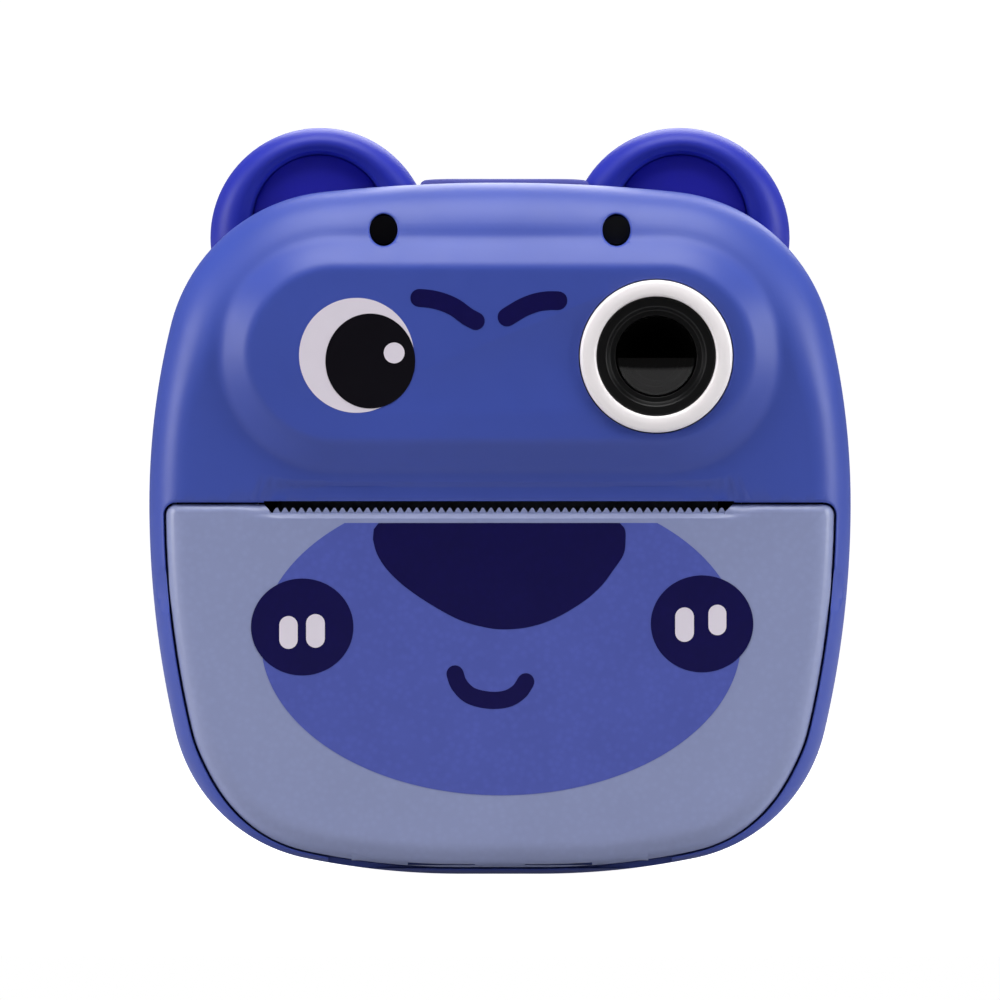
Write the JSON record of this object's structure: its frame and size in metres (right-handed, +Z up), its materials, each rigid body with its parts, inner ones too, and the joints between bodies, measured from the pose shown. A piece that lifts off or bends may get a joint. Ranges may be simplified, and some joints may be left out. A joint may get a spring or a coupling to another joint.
{
  "type": "instant print camera",
  "caption": "Child's instant-print camera with a bear face: rounded body, round ears, lens as one eye, and a front paper door that opens over a thermal printer.",
  "frame": {"origin": "bottom centre of the bounding box, under the middle of the body", "axes": "+Z up, -Y out of the front where the lens and the paper door are, +X to the right seen from the front"},
  "size_m": [0.09, 0.047, 0.096],
  "materials": {
    "case_blue": "fine satin moulded plastic",
    "ear_blue": "fine satin moulded plastic",
    "door_blue": "fine satin moulded plastic",
    "white_plastic": "semi-gloss",
    "black_plastic": "matte",
    "smoked_plastic": "gloss, smoked",
    "grey_plastic": "matte moulded plastic",
    "natural_plastic": "acetal",
    "lens_glass": "coated glass",
    "screen_glass": "gloss cover",
    "rubber": "soft",
    "steel": "bright",
    "motor_can": "plated can",
    "brass": "cut",
    "aluminium": "extruded",
    "ceramic": "glazed ceramic",
    "board_green": "solder mask",
    "flex_amber": "polyimide film",
    "battery_foil": "foil pouch",
    "wire_red": "insulated wire",
    "paper_white": "thermal paper",
    "card_core": "card tube"
  },
  "bodies": {
    "case": {"front_shell": "case_blue", "back_shell": "case_blue", "left_ear": "ear_blue", "right_ear": "ear_blue", "case_screws": "steel", "chassis": "grey_plastic", "chassis_screws": "steel", "hinge_pin": "steel", "lens_ring": "white_plastic", "lens_barrel": "black_plastic", "lens_glass": "lens_glass", "camera_board": "board_green", "image_sensor": "black_plastic", "camera_cable": "flex_amber", "status_light": "smoked_plastic", "microphone": "black_plastic", "main_board": "board_green", "board_screws": "steel", "bracket": "grey_plastic", "battery": "battery_foil", "battery_leads": "wire_red", "display": "black_plastic", "display_cable": "flex_amber", "display_window": "screen_glass", "speaker": "black_plastic", "usb_socket": "steel", "card_socket": "steel", "memory_card": "black_plastic", "strap_bar": "steel", "motor": "motor_can", "switches": "black_plastic", "shutter_switch": "black_plastic", "middle_post": "steel", "head_pivot": "steel", "head_springs": "steel", "head_cable": "flex_amber"},
    "door": {"door_panel": "door_blue", "door_frame": "grey_plastic", "tear_edge": "door_blue", "bushings": "natural_plastic"},
    "feed": {"feed_roller": "rubber", "feed_shaft": "steel", "feed_gear": "natural_plastic"},
    "middle_wheel": {"middle_gear": "natural_plastic"},
    "motor_rotor": {"motor_gear": "brass", "motor_shaft": "steel"},
    "roll": {"paper_roll": "paper_white", "roll_core": "card_core"},
    "head": {"head_plate": "ceramic", "heat_sink": "aluminium"},
    "shutter": {"shutter_button": "ear_blue"},
    "ok": {"ok_key": "white_plastic"},
    "up": {"up_key": "white_plastic"},
    "down": {"down_key": "white_plastic"},
    "left": {"left_key": "white_plastic"},
    "right": {"right_key": "white_plastic"},
    "power": {"power_key": "white_plastic"},
    "mode": {"mode_key": "white_plastic"},
    "play": {"play_key": "white_plastic"},
    "flap": {"usb_flap": "rubber"}
  },
  "joints": [
    {"name": "door_hinge", "type": "hinge", "parent": "case", "child": "door", "pos_m": [0, -0.0175, 0.0034], "axis": [1, 0, 0], "range_deg": [0, 80]},
    {"name": "feed_spin", "type": "hinge", "parent": "door", "child": "feed", "pos_m": [0, -0.0127, 0.0409], "axis": [1, 0, 0], "continuous": true},
    {"name": "middle_spin", "type": "hinge", "parent": "case", "child": "middle_wheel", "pos_m": [-0.0345, -0.00176, 0.03975], "axis": [1, 0, 0], "continuous": true},
    {"name": "motor_spin", "type": "hinge", "parent": "case", "child": "motor_rotor", "pos_m": [-0.0345, 0.00435, 0.04703], "axis": [1, 0, 0], "continuous": true},
    {"name": "roll_spin", "type": "hinge", "parent": "case", "child": "roll", "pos_m": [0, -0.004, 0.019], "axis": [1, 0, 0], "continuous": true},
    {"name": "head_tilt", "type": "hinge", "parent": "case", "child": "head", "pos_m": [0, -0.00453, 0.04544], "axis": [-1, 0, 0], "range_deg": [0, 3], "stiffness_Nm_per_rad": 0.02, "springref_deg": -2.86, "deforming": ["head_springs"]},
    {"name": "shutter_press", "type": "slide", "parent": "case", "child": "shutter", "axis": [0, 0, -1], "range_m": [0, 0.0005], "stiffness_N_per_m": 500, "springref_m": -0.0005},
    {"name": "ok_press", "type": "slide", "parent": "case", "child": "ok", "axis": [0, -1, 0], "range_m": [0, 0.0004], "stiffness_N_per_m": 400, "springref_m": -0.0005},
    {"name": "up_press", "type": "slide", "parent": "case", "child": "up", "axis": [0, -1, 0], "range_m": [0, 0.0004], "stiffness_N_per_m": 400, "springref_m": -0.0005},
    {"name": "down_press", "type": "slide", "parent": "case", "child": "down", "axis": [0, -1, 0], "range_m": [0, 0.0004], "stiffness_N_per_m": 400, "springref_m": -0.0005},
    {"name": "left_press", "type": "slide", "parent": "case", "child": "left", "axis": [0, -1, 0], "range_m": [0, 0.0004], "stiffness_N_per_m": 400, "springref_m": -0.0005},
    {"name": "right_press", "type": "slide", "parent": "case", "child": "right", "axis": [0, -1, 0], "range_m": [0, 0.0004], "stiffness_N_per_m": 400, "springref_m": -0.0005},
    {"name": "power_press", "type": "slide", "parent": "case", "child": "power", "axis": [0, -1, 0], "range_m": [0, 0.0004], "stiffness_N_per_m": 400, "springref_m": -0.0005},
    {"name": "mode_press", "type": "slide", "parent": "case", "child": "mode", "axis": [0, -1, 0], "range_m": [0, 0.0004], "stiffness_N_per_m": 400, "springref_m": -0.0005},
    {"name": "play_press", "type": "slide", "parent": "case", "child": "play", "axis": [0, -1, 0], "range_m": [0, 0.0004], "stiffness_N_per_m": 400, "springref_m": -0.0005},
    {"name": "flap_hinge", "type": "hinge", "parent": "case", "child": "flap", "pos_m": [0.04445, 0.008, 0.05], "axis": [0, 0, -1], "range_deg": [0, 100]}
  ],
  "couplings": [
    {"joint": "middle_spin", "follows": "feed_spin", "ratio": -0.69231},
    {"joint": "motor_spin", "follows": "feed_spin", "ratio": 1.5},
    {"joint": "roll_spin", "follows": "feed_spin", "ratio": 0.34}
  ]
}
